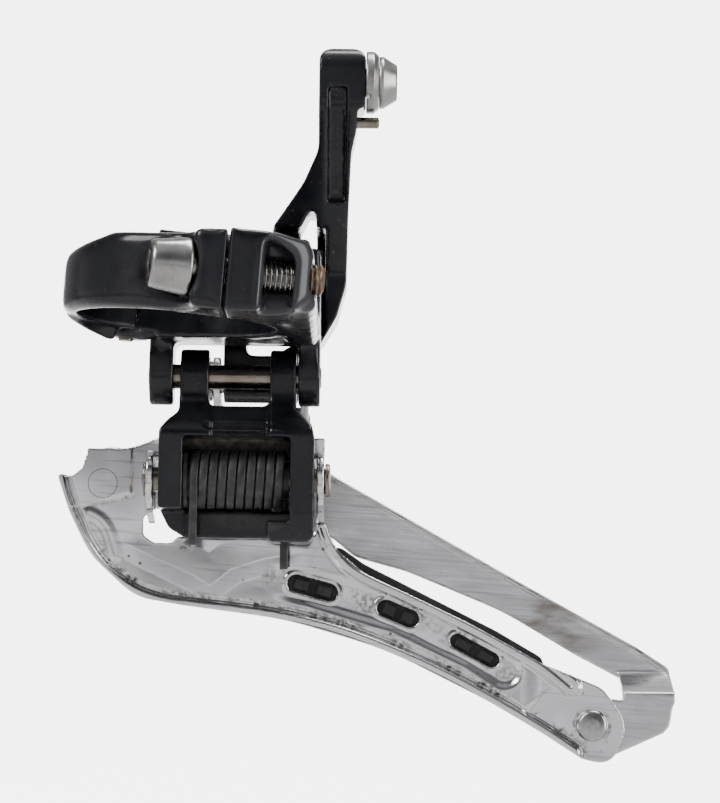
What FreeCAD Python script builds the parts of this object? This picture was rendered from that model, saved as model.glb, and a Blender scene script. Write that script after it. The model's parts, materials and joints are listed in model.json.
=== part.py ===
import FreeCAD, Part
import math
import os

# Front derailleur with a hinged seat-tube clamp and a long cable arm, in millimetres.
# Frame: origin on the seat-tube axis at mid height of the clamp band, +Z up along the tube,
# +X to the rear of the bicycle, +Y outboard.
# The four linkage pins are parallel and lean linkage_tilt from X, rising to the rear.
# Everything that hangs from the pins is drawn in a linkage frame that leans with them.

V = FreeCAD.Vector
os.makedirs("parts", exist_ok=True)
doc = FreeCAD.newDocument("front_derailleur")

# ---------------------------------------------------------------- driving sizes
SIZES = {
    "tube_radius": 15.9,
    "band_wall": 2.6,
    "band_half": 5.0,
    "linkage_tilt": 4.0,
    "inner_pivot_y": 26.0,
    "inner_pivot_z": -10.9,
    "outer_pivot_y": 40.0,
    "outer_pivot_z": 6.9,
    "link_lean": -3.0,
    "link_drop": -17.4,
    "pin_radius": 2.05,
    "pin_play": 0.05,
    "clamp_bolt_radius": 2.45,
    "clamp_bolt_yaw": 11.0,
    "clamp_bolt_y": -21.9,
    "clamp_bolt_z": 1.4,
    "clamp_head_radius": 4.5,
    "clamp_head_length": 6.4,
    "clamp_shank_length": 21.0,
    "clamp_bearing": -1.6,
    "hinge_pin_radius": 1.2,
    "knuckle_radius": 2.6,
    "plate_thickness": 1.0,
    "inner_plate_y": 30.0,
    "outer_plate_y": 43.0,
    "skid_thickness": 1.0,
    "tail_x": 68.2,
    "tail_z": -67.9,
    "lug_radius": 5.2,
    "rivet_radius": 1.7,
    "spring_radius": 4.1,
    "wire_radius": 0.72,
    "spring_pitch": 1.52,
    "arm_top_y": 24.0,
    "anchor_z": 38.6,
    "anchor_plate_radius": 5.2,
    "limit_screw_radius": 1.5,
    "guide_radius": 0.95,
    "hex_key": 4.0,
    "plate_gap": 0.05,
}
sheet = doc.addObject("Spreadsheet::Sheet", "Sizes")
for row, (alias, number) in enumerate(SIZES.items(), start=1):
    sheet.set("A%d" % row, alias)
    sheet.set("B%d" % row, str(number))
    sheet.setAlias("B%d" % row, alias)
doc.recompute()


def size(alias):
    """A driving size, read back from the sheet."""
    return float(sheet.get(alias))


TILT = size("linkage_tilt")
TUBE = size("tube_radius")
RING = TUBE + size("band_wall")
HALF = size("band_half")
PIN = size("pin_radius")
BORE = PIN + size("pin_play")
PLATE = size("plate_thickness")
INNER_Y = size("inner_plate_y")
OUTER_Y = size("outer_plate_y")
GAP = size("plate_gap")
# how much wider than its pin a hole is where the pin is held, and where it turns
HELD = 0.02
FREE = 0.05
# pivot points in the linkage frame, as (y, z)
P_IN = (size("inner_pivot_y"), size("inner_pivot_z"))
P_OUT = (size("outer_pivot_y"), size("outer_pivot_z"))
Q_IN = (P_IN[0] + size("link_lean"), P_IN[1] + size("link_drop"))
Q_OUT = (P_OUT[0] + size("link_lean"), P_OUT[1] + size("link_drop"))


# ---------------------------------------------------------------- outlines
def rounded(points):
    """Closed outline through (a, b) or (a, b, corner radius) points, as sketch geometry."""
    count = len(points)
    starts = []
    ends = []
    arcs = []
    for i in range(count):
        here = V(points[i][0], points[i][1], 0)
        radius = points[i][2] if len(points[i]) > 2 else 0.0
        before = V(points[i - 1][0], points[i - 1][1], 0) - here
        after = V(points[(i + 1) % count][0], points[(i + 1) % count][1], 0) - here
        if radius <= 0:
            starts.append(here)
            ends.append(here)
            arcs.append(None)
            continue
        back = V(before).normalize()
        ahead = V(after).normalize()
        half = back.getAngle(ahead) / 2
        reach = min(radius / math.tan(half), 0.49 * before.Length, 0.49 * after.Length)
        radius = reach * math.tan(half)
        middle = (back + ahead).normalize() * (radius / math.sin(half))
        nearest = here + middle - V(middle).normalize() * radius
        starts.append(here + back * reach)
        ends.append(here + ahead * reach)
        arcs.append(Part.Arc(here + back * reach, nearest, here + ahead * reach))
    shapes = []
    for i in range(count):
        if arcs[i] is not None:
            shapes.append(arcs[i])
        leave = ends[i]
        arrive = starts[(i + 1) % count]
        if (arrive - leave).Length > 1e-6:
            shapes.append(Part.LineSegment(leave, arrive))
    return shapes


def circle(a, b, radius):
    return [Part.Circle(V(a, b, 0), V(0, 0, 1), radius)]


def polar(radius, degrees, a=0.0, b=0.0):
    angle = math.radians(degrees)
    return (a + radius * math.cos(angle), b + radius * math.sin(angle))


def sector(inner, outer, first, last):
    """Part of a ring about the origin, between two directions in degrees."""
    middle = (first + last) / 2
    ends = ((outer, first), (outer, last), (inner, last), (inner, first))
    corners = [V(*polar(radius, degrees), 0) for radius, degrees in ends]
    return [
        Part.Arc(corners[0], V(*polar(outer, middle), 0), corners[1]),
        Part.LineSegment(corners[1], corners[2]),
        Part.Arc(corners[2], V(*polar(inner, middle), 0), corners[3]),
        Part.LineSegment(corners[3], corners[0]),
    ]


def hexagon(across_flats):
    radius = across_flats / 2 / math.cos(math.radians(30))
    return rounded([polar(radius, 60 * i) for i in range(6)])


def slot(a, b, length, width, degrees):
    """Round-ended slot about (a, b), its long way turned by degrees."""
    half = (length - width) / 2
    along = V(*polar(1, degrees), 0)
    across = V(-along.y, along.x, 0) * (width / 2)
    far = V(a, b, 0) + along * half
    near = V(a, b, 0) - along * half
    return [
        Part.LineSegment(near + across, far + across),
        Part.Arc(far + across, far + along * (width / 2), far - across),
        Part.LineSegment(far - across, near - across),
        Part.Arc(near - across, near - along * (width / 2), near + across),
    ]


# ---------------------------------------------------------------- features
def new_body(name, linkage=True):
    """A PartDesign body whose label is its node name, leaning with the linkage or upright."""
    body = doc.addObject("PartDesign::Body", name)
    body.Label = name
    if linkage:
        body.Placement = FreeCAD.Placement(V(0, 0, 0), FreeCAD.Rotation(V(0, 1, 0), -1))
        body.setExpression("Placement.Rotation.Angle", "-Sizes.linkage_tilt")
    return body


# plane roles: front looks along Y at depth y, side along X at station x, top along Z at height z
ROLES = {"front": "XZ_Plane", "side": "YZ_Plane", "top": "XY_Plane"}


def sketch(body, view, at, geometry, lean=0.0, yaw=0.0):
    """Sketch on one of the body's own planes, moved along its normal to station `at`."""
    drawn = body.newObject("Sketcher::SketchObject", body.Name + "_outline")
    plane = [f for f in body.Origin.OriginFeatures if f.Role == ROLES[view]][0]
    drawn.AttachmentSupport = [(plane, "")]
    drawn.MapMode = "FlatFace"
    offset = -at if view == "front" else at
    turn = FreeCAD.Rotation()
    if lean and view == "front":
        turn = FreeCAD.Rotation(V(0, 0, 1), lean)
    if lean and view == "side":
        turn = FreeCAD.Rotation(V(1, 0, 0), -lean)
    if yaw:
        turn = FreeCAD.Rotation(V(0, 1, 0), yaw)
    drawn.AttachmentOffset = FreeCAD.Placement(turn.multVec(V(0, 0, offset)), turn)
    drawn.addGeometry(geometry, False)
    return drawn


def feature(kind, body, view, first, last, geometry, lean=0.0, yaw=0.0, bind=None):
    """Pad or Pocket of an outline from station first to station last, first < last."""
    drawn = sketch(body, view, first, geometry, lean, yaw)
    made = body.newObject("PartDesign::" + kind, body.Name + "_" + kind.lower())
    made.Profile = drawn
    made.Length = last - first
    if bind:
        made.setExpression("Length", bind)
    # a pad grows along the sketch normal and a pocket against it; the front view's normal is -Y
    towards_normal = view != "front"
    made.Reversed = (not towards_normal) if kind == "Pad" else towards_normal
    drawn.Visibility = False
    return made


def pad(body, view, first, last, geometry, **more):
    return feature("Pad", body, view, first, last, geometry, **more)


def pocket(body, view, first, last, geometry, **more):
    return feature("Pocket", body, view, first, last, geometry, **more)


def revolve(body, profile):
    """Full turn of a half outline, given as (along the axis, radius), about the body's X axis."""
    drawn = sketch(body, "front", 0.0, rounded(profile))
    made = body.newObject("PartDesign::Revolution", body.Name + "_turned")
    made.Profile = drawn
    made.ReferenceAxis = (drawn, ["H_Axis"])
    made.Angle = 360.0
    drawn.Visibility = False
    return made


def place(body, x, y, z):
    """Move a turned piece so that its own axis starts at (x, y, z) of the linkage frame."""
    lean = FreeCAD.Rotation(V(0, 1, 0), -TILT)
    body.Placement = FreeCAD.Placement(lean.multVec(V(x, y, z)), lean)


def turned_pin(name, x, pivot, profile):
    """A pin turned about a pivot line that runs along X."""
    body = new_body(name)
    revolve(body, profile)
    place(body, x, pivot[0], pivot[1])
    return body


# ---------------------------------------------------------------- clamp
SPLIT_SUPPORT = -58.0
SPLIT_BAND = 295.8
SPLIT_HINGE = 115.6
HINGE_GAP = 1.6
HINGE = polar(20.75, 116.3)
KNUCKLE = size("knuckle_radius")
KNUCKLE_ROOM = KNUCKLE + 0.3
KNUCKLE_SPLIT = 2.8
# how far the lip below the band's far left reaches down
LIP = 7.4
LUG_TOP = 7.7
LUG_NEAR = -25.2
YAW = size("clamp_bolt_yaw")
# the bolt's axis, and along it the face its head bears on, are given in a frame turned by YAW
BOLT_SLIP = (size("clamp_bolt_y") * math.cos(math.radians(YAW)), size("clamp_bolt_z"))
EAR_FACE = 8.4
BEARING = size("clamp_bearing")
LINK_RIGHT_LUG = (18.8, 22.4)
LINK_LEFT_LUG = (-5.9, -1.9)


def make_support():
    body = new_body("support_body", linkage=False)
    # ring half, the taller wall at the back and the side wall, all bored to the tube at the end
    pad(body, "top", -HALF, HALF, sector(10.0, RING, SPLIT_SUPPORT, SPLIT_HINGE),
        bind="2 * Sizes.band_half")
    pad(body, "top", -HALF, 12.0, sector(13.0, RING + 0.4, 32.0, 108.0))
    side_wall = [
        (EAR_FACE, -5.2), (14.5, -5.0, 2), (19.0, -4.2, 2), (21.5, -2.2, 1.2),
        (21.5, 5.0, 1.5), (20.6, 7.1, 1.2), (15.0, LUG_TOP, 3), (EAR_FACE, LUG_TOP),
    ]
    pad(body, "front", LUG_NEAR, -8.0, rounded(side_wall))
    pad(body, "front", -12.0, 24.0, rounded([(12.0, -4.9), (19.0, -4.2, 2), (21.5, -2.2, 1.2),
                                             (21.5, 4.2, 1.5), (19.5, 7.0, 2), (12.0, 7.0)]))
    # block behind the ring, under which the two lower lugs hang
    block = [(14.0, -5.4), (30.4, -5.4, 1), (30.8, 6.0, 2), (28.0, 8.0, 2), (14.0, 9.5)]
    pad(body, "side", -4.4, LINK_RIGHT_LUG[1], rounded(block), lean=TILT)
    lug_half = 4.8
    lug = [(P_IN[0] - lug_half, -3.6), (P_IN[0] + lug_half, -3.6),
           (P_IN[0] + lug_half, P_IN[1] - lug_half, lug_half - 0.05),
           (P_IN[0] - lug_half, P_IN[1] - lug_half, lug_half - 0.05)]
    for first, last in (LINK_LEFT_LUG, LINK_RIGHT_LUG):
        pad(body, "side", first, last, rounded(lug), lean=TILT)
    # boss for the outer link's upper pin, with stop faces for the limit screws above and below it
    y, z = P_OUT
    neck = [(y - 10.5, z - 6.5), (y - 3.5, z - 9.0, 1), (y + 0.8, z - 9.0, 0.5), (y + 0.8, z + 7.2, 0.5),
            (y - 3.5, z + 7.2, 1.5), (y - 6.0, z + 2.5, 2), (y - 10.5, z + 0.5)]
    pad(body, "side", 10.3, 20.4, rounded(neck), lean=TILT)
    pad(body, "side", 10.3, 20.4, circle(y, z, 4.4), lean=TILT)
    # skirt that joins the side wall's foot to the block
    pad(body, "side", 17.4, 22.3, rounded([(-19.4, -3.6), (16.0, -5.4), (16.0, 0.0), (-19.4, 0.0, 1)]))
    # hinge knuckles above and below the band's own knuckle
    for first, last in ((-6.4, -KNUCKLE_SPLIT - 0.15), (KNUCKLE_SPLIT + 0.15, 6.4)):
        arm = [polar(17.0, 104), polar(22.3, 107), polar(22.5, 116.3), polar(18.6, 116.3), polar(17.0, 112)]
        pad(body, "top", first, last, circle(HINGE[0], HINGE[1], KNUCKLE))
        pad(body, "top", first, last, rounded(arm))
    # cuts
    pocket(body, "top", -20.0, 20.0, circle(0, 0, TUBE))
    pocket(body, "top", -KNUCKLE_SPLIT - 0.15, KNUCKLE_SPLIT + 0.15,
           circle(HINGE[0], HINGE[1], KNUCKLE_ROOM))
    pocket(body, "top", -10.0, 10.0, circle(HINGE[0], HINGE[1], size("hinge_pin_radius") + HELD))
    # the near face steps back beside the bolt, whose thread lies in the open there
    relief = [(14.0, -9.0), (18.5, -9.0), (18.5, 4.4, 1.4), (15.0, 6.4, 1.4), (14.0, 6.4)]
    pocket(body, "front", LUG_NEAR - 1, -19.0, rounded(relief))
    pocket(body, "top", -10.0, 12.0, rounded([
        (13.9, -27.0), (24.0, -27.0), (24.0, -18.6), (21.6, -20.4, 1), (18.6, -22.4, 1), (13.9, -25.2)]))
    pocket(body, "side", 0.0, 40.0, circle(BOLT_SLIP[0], BOLT_SLIP[1], size("clamp_bolt_radius") + FREE),
           yaw=YAW)
    pocket(body, "side", -8.0, 30.0, circle(P_IN[0], P_IN[1], PIN + HELD), lean=TILT)
    pocket(body, "side", 5.0, 25.0, circle(P_OUT[0], P_OUT[1], PIN + HELD), lean=TILT)
    return body


def make_band():
    body = new_body("clamp_band", linkage=False)
    first = SPLIT_HINGE + HINGE_GAP
    pad(body, "top", -HALF, HALF, sector(10.0, RING, first, SPLIT_BAND), bind="2 * Sizes.band_half")
    # the near quarter grows taller towards the ear
    pad(body, "top", 0.0, 7.0, sector(13.0, RING, 182.0, SPLIT_BAND))
    pocket(body, "front", -30.0, 1.0, rounded([(-20.0, 3.9), (-10.5, 6.8), (-10.5, 9.0), (-20.0, 9.0)]))
    ear = [(-4.0, -5.0), (8.0, -5.2), (8.0, 7.5), (3.5, 7.4, 3), (-4.0, 7.0)]
    pad(body, "front", LUG_NEAR, -9.0, rounded(ear))
    # in front of the ring nothing but the wall that the bolt's head bears on
    pocket(body, "top", -8.0, 10.0, rounded([
        (2.6, -27.0), (2.6, -22.0, 1.5), (0.6, -18.8, 1), (-2.5, -18.6), (-6.0, -17.75), (-6.0, -27.0)]))
    pad(body, "top", -KNUCKLE_SPLIT, KNUCKLE_SPLIT, circle(HINGE[0], HINGE[1], KNUCKLE))
    arm = [polar(17.4, 119), polar(17.0, 127), polar(19.3, 128), polar(22.0, 121), polar(21.0, 117.5)]
    pad(body, "top", -KNUCKLE_SPLIT, KNUCKLE_SPLIT, rounded(arm))
    pocket(body, "top", -20.0, 20.0, circle(0, 0, TUBE))
    for low, high in ((-HALF - 1, -KNUCKLE_SPLIT), (KNUCKLE_SPLIT, HALF + 1)):
        pocket(body, "top", low, high, circle(HINGE[0], HINGE[1], KNUCKLE_ROOM))
    pocket(body, "top", -10.0, 10.0, circle(HINGE[0], HINGE[1], size("hinge_pin_radius") + FREE))
    # lip below the ring's far left, deepest at the hinge and clear of the tube
    pad(body, "top", -LIP, -HALF, sector(16.9, RING, 127.0, 172.0))
    below = [(-20.0, -5.2), (-17.6, -5.5), (-15.0, -6.6), (-12.0, -7.3), (-9.0, -7.6), (-9.0, -9.0),
             (-20.0, -9.0)]
    pocket(body, "front", -1.0, 30.0, rounded(below))
    # scoop for the bolt's head and a loose hole for its shank, so that the band can swing open
    scoop = circle(BOLT_SLIP[0], BOLT_SLIP[1], size("clamp_head_radius") + 0.6)
    pocket(body, "side", -16.0, BEARING, scoop, yaw=YAW)
    loose = circle(BOLT_SLIP[0], BOLT_SLIP[1], size("clamp_bolt_radius") + 0.8)
    pocket(body, "side", -8.0, 12.0, loose, yaw=YAW)
    return body


def make_clamp_bolt():
    """Tapered socket head on a plain-modelled M5 shank; the head bears on the band's ear."""
    body = new_body("clamp_bolt", linkage=False)
    head = size("clamp_head_radius")
    long = size("clamp_head_length")
    shank = size("clamp_bolt_radius")
    tip = size("clamp_shank_length")
    revolve(body, [(-long, 0), (-long, head - 0.8, 0.3), (-long + 0.7, head - 0.4), (-0.6, head, 0.3),
                   (0, head - 0.2), (0, shank), (tip - 0.7, shank), (tip, shank - 0.7), (tip, 0)])
    pocket(body, "side", -long - 1, -long + 3.0, hexagon(size("hex_key")))
    turn = FreeCAD.Rotation(V(0, 0, 1), YAW)
    start = turn.multVec(V(BEARING - 0.05, BOLT_SLIP[0], BOLT_SLIP[1]))
    body.Placement = FreeCAD.Placement(start, turn)
    return body


def make_hinge_pin():
    pin = doc.addObject("Part::Cylinder", "clamp_hinge_pin")
    pin.Label = "clamp_hinge_pin"
    pin.setExpression("Radius", "Sizes.hinge_pin_radius")
    pin.setExpression("Height", "2 * Sizes.band_half + 3.2")
    pin.Placement = FreeCAD.Placement(V(HINGE[0], HINGE[1], -HALF - 1.6), FreeCAD.Rotation())
    return pin


# ---------------------------------------------------------------- inner link and its spring
LINK_LEFT = -3.9
LINK_RIGHT = 21.7
SPRING_ROOM = 5.3
CHIN_FRONT = 24.4


# an outline larger than either link, round the outline that a link is trimmed to
EVERYTHING = [(-20.0, -60.0), (50.0, -60.0), (50.0, 60.0), (-20.0, 60.0)]


def make_inner_link():
    body = new_body("inner_link")
    # seen from the side: an eye about the upper pin that widens into the spring housing
    y, z = P_IN
    side = [(y - 4.5, z + 4.5, 4.4), (y + 4.5, z + 4.5, 4.4), (y + 4.5, z - 2, 3), (29.0, -19.0, 3),
            (29.0, -33.0, 3), (26.5, -38.7, 1), (18.0, -38.7, 1), (17.2, -34.0, 2), (17.2, -20.5, 2),
            (21.5, -15.0, 3)]
    pad(body, "side", LINK_LEFT - 1, LINK_RIGHT + 1, rounded(side))
    # seen from the front: everything outside this outline is cut away
    front = [(-0.7, -5.0), (4.0, -5.0), (4.0, -16.2, 1.2), (14.1, -16.2, 1.2), (14.1, -5.0), (18.4, -5.0),
             (18.5, -16.6, 1.5), (21.2, -19.2, 1.8), (LINK_RIGHT, -21.6, 1.5), (LINK_RIGHT, -37.6, 1),
             (20.9, -38.7, 1), (14.4, -38.7, 0.4), (14.2, -37.8), (0.4, -37.8, 1), (-2.4, -36.2, 2),
             (LINK_LEFT, -33.2, 1), (LINK_LEFT, -20.4, 1.5), (-2.6, -18.7, 1.5), (-0.8, -17.2, 1.5)]
    pocket(body, "front", 5.0, 45.0, rounded(EVERYTHING) + rounded(front))
    # window for the spring: a round-backed trough, open to the front
    qy, qz = Q_IN
    top = polar(SPRING_ROOM, 40, qy, qz)
    back = polar(SPRING_ROOM, -25, qy, qz)
    low = polar(SPRING_ROOM, -74, qy, qz)
    trough = [
        Part.LineSegment(V(14, -21.5, 0), V(qy - 0.5, -21.5, 0)),
        Part.LineSegment(V(qy - 0.5, -21.5, 0), V(*top, 0)),
        Part.Arc(V(*top, 0), V(*back, 0), V(*low, 0)),
        Part.LineSegment(V(*low, 0), V(low[0], -42, 0)),
        Part.LineSegment(V(low[0], -42, 0), V(14, -42, 0)),
        Part.LineSegment(V(14, -42, 0), V(14, -21.5, 0)),
    ]
    pocket(body, "side", 0.1, 14.2, trough)
    pocket(body, "side", 14.1, 17.7, trough[:3] + [
        Part.LineSegment(V(*low, 0), V(low[0], -35.4, 0)),
        Part.LineSegment(V(low[0], -35.4, 0), V(14, -35.4, 0)),
        Part.LineSegment(V(14, -35.4, 0), V(14, -21.5, 0)),
    ])
    # the left column's front ends above the chin, and the foot leaves a way for the spring's leg
    pocket(body, "front", 10.0, CHIN_FRONT, rounded([(-6, -33.4), (0.2, -33.4), (0.2, -42), (-6, -42)]))
    pocket(body, "front", 25.2, 40.0, rounded([(14.9, -27.0), (18.3, -27.0), (18.3, -42), (14.9, -42)]))
    # shallow web in the crossbar
    pocket(body, "front", 10.0, 18.3, rounded([
        (3.6, -14.0), (14.5, -14.0), (14.5, -20.4, 1), (3.6, -20.4, 1)]))
    pocket(body, "side", LINK_LEFT - 2, LINK_RIGHT + 2, circle(P_IN[0], P_IN[1], BORE))
    pocket(body, "side", LINK_LEFT - 2, LINK_RIGHT + 2, circle(Q_IN[0], Q_IN[1], BORE))
    return body


def make_sleeve():
    return turned_pin("spring_sleeve", 0.2, Q_IN, [
        (0.0, BORE), (0.0, 4.6), (0.6, 4.6), (0.6, 3.1), (17.3, 3.1), (17.3, BORE)])


COIL_START = 1.6
COIL_TURNS = 9.5
LEG_LOW = -11.3
HOOK_BEND = 1.6


def make_spring():
    """Torsion coil about the lower pin; one leg bears on the inner plate, one behind the link's foot."""
    radius = size("spring_radius")
    pitch = size("spring_pitch")
    rise = math.atan(pitch / (2 * math.pi * radius))
    # left-hand helix about Z from +X, with straight legs along its end tangents; -Y is up
    helix = Part.makeHelix(pitch, pitch * COIL_TURNS, radius, 0, True)
    front = V(radius, 0, 0)
    down = V(0, math.cos(rise), -math.sin(rise))
    bend = front - down * LEG_LOW
    hook = V(-1, 0.1, 0).normalize()
    arc = Part.Arc(bend + hook * HOOK_BEND, bend + (hook + down * -1).normalize() * (HOOK_BEND * 0.41),
                   bend - down * HOOK_BEND)
    tip = bend + hook * (radius * 2 + 2.0)
    rear = V(-radius, 0, pitch * COIL_TURNS)
    foot = rear + V(0, math.cos(rise), math.sin(rise)) * (3.6 - LEG_LOW)
    edges = [Part.LineSegment(tip, bend + hook * HOOK_BEND).toShape(), arc.toShape(),
             Part.LineSegment(bend - down * HOOK_BEND, front).toShape()]
    edges += helix.Edges
    edges.append(Part.LineSegment(rear, foot).toShape())
    profile = Part.Wire(Part.makeCircle(size("wire_radius"), tip, hook))
    spring = Part.Wire(edges).makePipeShell([profile], True, False)
    turn = FreeCAD.Rotation(V(0, -1, 0), V(0, 0, -1), V(1, 0, 0), "XYZ")
    lean = FreeCAD.Rotation(V(0, 1, 0), -TILT)
    node = doc.addObject("Part::Feature", "return_spring")
    node.Label = "return_spring"
    node.Shape = spring
    node.Placement = FreeCAD.Placement(lean.multVec(V(COIL_START, Q_IN[0], Q_IN[1])), lean.multiply(turn))
    return node


# ---------------------------------------------------------------- outer link with the cable arm
EAR_LEFT = (6.0, 9.8)
EAR_RIGHT = (22.9, 26.5)
GUIDE_Z = 31.8
# name: station along the pins, height above the outer pivot
LIMIT_SCREWS = {"limit_screw_high": (13.4, 5.5), "limit_screw_low": (17.0, -6.4)}
# where each screw's tip rests, outboard of the outer pivot
LIMIT_TIPS = {"limit_screw_high": 4.4, "limit_screw_low": 0.85}
LIMIT_HEAD_Y = 8.6


def make_outer_link():
    body = new_body("outer_link")
    y, z = P_OUT
    qy, qz = Q_OUT
    top = size("arm_top_y")
    # seen from the side: barrel, eye with the outboard web, and the arm that leans inboard
    side = [(qy - 3.6, qz - 3.6, 3.5), (qy + 3.6, qz - 3.6, 3.5), (qy + 4.4, qz + 3, 3),
            (y + 7.6, z - 8.5, 3), (y + 7.8, z + 5.0, 6), (y - 2.5, z + 19.0, 14), (top + 4.6, 34.0, 8),
            (top + 4.2, 44.2, 3.8), (top - 4.2, 44.2, 3.8), (top - 4.2, 33.0, 5), (y - 9.0, z + 14.0, 12),
            (y - 5.0, z + 1.0, 5), (qy - 3.6, qz + 5, 5)]
    pad(body, "side", 5.0, 30.0, rounded(side))
    # seen from the front: arm, rib and leg of an A, closed by the barrel
    outer = [(21.6, 44.2, 2.5), (29.4, 44.2, 2.5), (29.4, 34.0, 0.8), (28.1, 33.4, 0.5), (27.9, 30.2, 1),
             (27.1, 27.0, 6), (26.7, 18.0, 8), (26.5, 6.0, 6), (25.0, 0.5, 4), (21.6, -5.6, 2),
             (18.6, -6.0, 0.5), (18.6, -14.2), (6.0, -14.2), (6.0, 7.0, 3), (13.4, 14.7, 4), (19.2, 22.8, 6),
             (21.6, 27.6, 4)]
    pocket(body, "front", 5.0, 60.0, rounded(EVERYTHING) + rounded(outer))
    # gap of the A, and the gap between leg and arm below the web
    pocket(body, "front", 5.0, 60.0, rounded([
        (21.3, 9.6, 0.5), (21.3, 20.2, 1.2), (18.5, 15.0, 1), (18.8, 9.6, 0.5)]))
    pocket(body, "front", 5.0, 60.0, rounded([
        (9.8, -6.4, 1.2), (14.5, -6.4, 2), (20.6, -2.6, 2), (9.8, -2.6, 0.8)]))
    # slot in which the support's boss sits, with room for the link's whole swing
    room = 8.5
    high = polar(room, 108, y, z)
    over = polar(room, 72, y, z)
    face = y + 5.0
    floor = z - 9.8
    slot_side = [
        Part.LineSegment(V(10.0, floor, 0), V(face, floor, 0)),
        Part.LineSegment(V(face, floor, 0), V(face, z + 6.6, 0)),
        Part.LineSegment(V(face, z + 6.6, 0), V(*over, 0)),
        Part.Arc(V(*over, 0), V(*polar(room, 90, y, z), 0), V(*high, 0)),
        Part.LineSegment(V(*high, 0), V(10.0, z + 11.0, 0)),
        Part.LineSegment(V(10.0, z + 11.0, 0), V(10.0, floor, 0)),
    ]
    pocket(body, "side", EAR_LEFT[1], EAR_RIGHT[0], slot_side)
    # long recess down the arm's front face
    pocket(body, "side", 23.2, 26.3, rounded([
        (15.0, 37.2), (20.9, 37.2, 1), (20.9, 33.4, 4), (32.6, 20.2, 1), (29.6, 18.2), (15.0, 18.2)]))
    # holes: both pivots, the cable bolt, the guide pin and the two limit screws
    pocket(body, "side", 0.0, 40.0, circle(y, z, BORE))
    pocket(body, "side", 0.0, 40.0, circle(qy, qz, BORE))
    pocket(body, "side", 22.5, 40.0, circle(top, size("anchor_z"), 2.5))
    pocket(body, "side", 24.0, 40.0, circle(top, GUIDE_Z, size("guide_radius") + HELD))
    for x, height in LIMIT_SCREWS.values():
        pocket(body, "front", face - 1.0, 60.0, circle(x, z + height, size("limit_screw_radius") + FREE))
    return body


def make_limit_screw(name):
    """Cross-head screw along -Y, through the outer link's web to the stop face on the support."""
    body = new_body(name, linkage=False)
    x, height = LIMIT_SCREWS[name]
    tip = LIMIT_TIPS[name]
    radius = size("limit_screw_radius")
    head = LIMIT_HEAD_Y
    revolve(body, [(tip, 0), (tip, radius - 0.4), (tip + 0.4, radius), (head, radius), (head, 2.5),
                   (head + 1.2, 2.5, 0.4), (head + 1.6, 1.9), (head + 1.6, 0)])
    for first, last in ((0.35, 1.5), (1.5, 0.35)):
        cross = [(-first, -last), (first, -last), (first, last), (-first, last)]
        pocket(body, "side", head + 0.7, head + 3.0, rounded(cross))
    lean = FreeCAD.Rotation(V(0, 1, 0), -TILT)
    body.Placement = FreeCAD.Placement(lean.multVec(V(x, P_OUT[0], P_OUT[1] + height)),
                                       lean.multiply(FreeCAD.Rotation(V(0, 0, 1), 90)))
    return body


def make_limit_lock():
    """Plastic strip in front of the web that both screws cut into."""
    body = new_body("limit_screw_lock")
    y, z = P_OUT
    high = LIMIT_SCREWS["limit_screw_high"]
    low = LIMIT_SCREWS["limit_screw_low"]
    pad(body, "front", y + 7.9, y + 8.5, rounded([
        (high[0] - 2.4, z + 7.6, 1), (high[0] + 2.4, z + 7.6, 1), (low[0] + 2.4, z - 7.0, 1),
        (low[0] - 2.4, z - 7.0, 1)]))
    for x, height in (high, low):
        pocket(body, "front", y + 6.0, y + 10.0, circle(x, z + height, size("limit_screw_radius") + FREE))
    return body


def make_arm_fittings():
    top = (size("arm_top_y"), size("anchor_z"))
    radius = size("anchor_plate_radius")
    plate = new_body("cable_plate")
    revolve(plate, [(0.0, 2.6), (0.0, radius, 0.2), (1.3, radius, 0.2), (2.1, radius - 0.7), (2.1, 2.6)])
    place(plate, 29.45, top[0], top[1])
    pocket(plate, "side", -1.0, 0.7, rounded([(-6.0, -3.3), (6.0, -3.3), (6.0, -2.7), (-6.0, -2.7)]))
    bolt = turned_pin("cable_bolt", 31.6, top, [
        (-7.6, 0), (-7.6, 1.9), (-7.1, 2.4), (0, 2.4), (0, 4.35, 0.15), (0.8, 4.35, 0.15), (3.0, 3.1, 0.3),
        (3.0, 0)])
    pocket(bolt, "side", 1.0, 4.0, hexagon(size("hex_key")))
    guide = size("guide_radius")
    turned_pin("cable_guide_pin", 25.0, (top[0], GUIDE_Z), [
        (-0.9, 0), (-0.9, guide), (6.5, guide, 0.2), (6.7, 0.6), (6.7, 0)])


def make_pins():
    turned_pin("inner_upper_pin", -6.1, P_IN, [
        (0, 0), (0, 1.6), (0.5, PIN), (28.2, PIN), (28.7, 1.6), (28.7, 0)])
    turned_pin("outer_upper_pin", 4.6, P_OUT, [
        (0, 0), (0, 1.6), (0.4, PIN), (21.4, PIN), (21.8, 1.6), (21.8, 0)])
    hole = PIN + HELD
    turned_pin("outer_upper_clip", 5.3, P_OUT, [(0, hole), (0, 3.2), (0.6, 3.2), (0.6, hole)])
    turned_pin("cage_inner_pin", -6.9, Q_IN, [
        (0, 0), (0, 0.6), (0.4, PIN - 0.3), (0.9, PIN), (30.35, PIN), (30.35, 2.9, 0.2), (31.1, 2.9, 0.3),
        (31.2, 2.2), (31.2, 0)])
    turned_pin("cage_inner_pin_ring", -6.6, Q_IN, [(0.05, hole), (0.05, 2.9), (0.5, 2.9), (0.5, hole)])
    turned_pin("cage_outer_pin", 3.0, Q_OUT, [
        (0, 0), (0, 1.6), (0.4, PIN), (17.4, PIN), (17.4, 2.9, 0.2), (18.1, 2.9, 0.3), (18.1, 0)])
    turned_pin("cage_outer_clip", 3.4, Q_OUT, [(0.1, hole), (0.1, 3.4), (0.7, 3.4), (0.7, hole)])


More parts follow.
